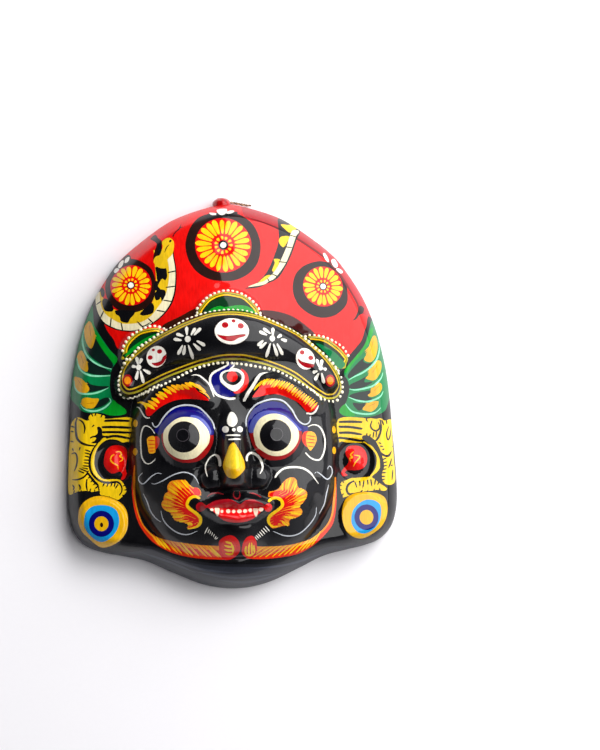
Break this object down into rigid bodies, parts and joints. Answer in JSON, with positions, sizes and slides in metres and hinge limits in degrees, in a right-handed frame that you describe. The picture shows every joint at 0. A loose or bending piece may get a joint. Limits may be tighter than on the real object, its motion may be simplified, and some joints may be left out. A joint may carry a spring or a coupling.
{
  "type": "papier-mache deity mask",
  "caption": "Hollow moulded papier-mache mask of a fanged, three-eyed deity with a domed crown, brow band and ear panels, and a short hanging loop of twine.",
  "frame": {"origin": "middle of the mask's outline, on the plane that its rim rests on", "axes": "+Z out of the face, +Y towards the crown, +X to the viewer's right"},
  "size_m": [0.212, 0.2514, 0.0786],
  "materials": {
    "painted_papier_mache": "glossy lacquered paint",
    "twine": "matt twisted fibre"
  },
  "bodies": {
    "root": {"mask_shell": "painted_papier_mache", "hanging_cord": "twine"}
  },
  "joints": []
}
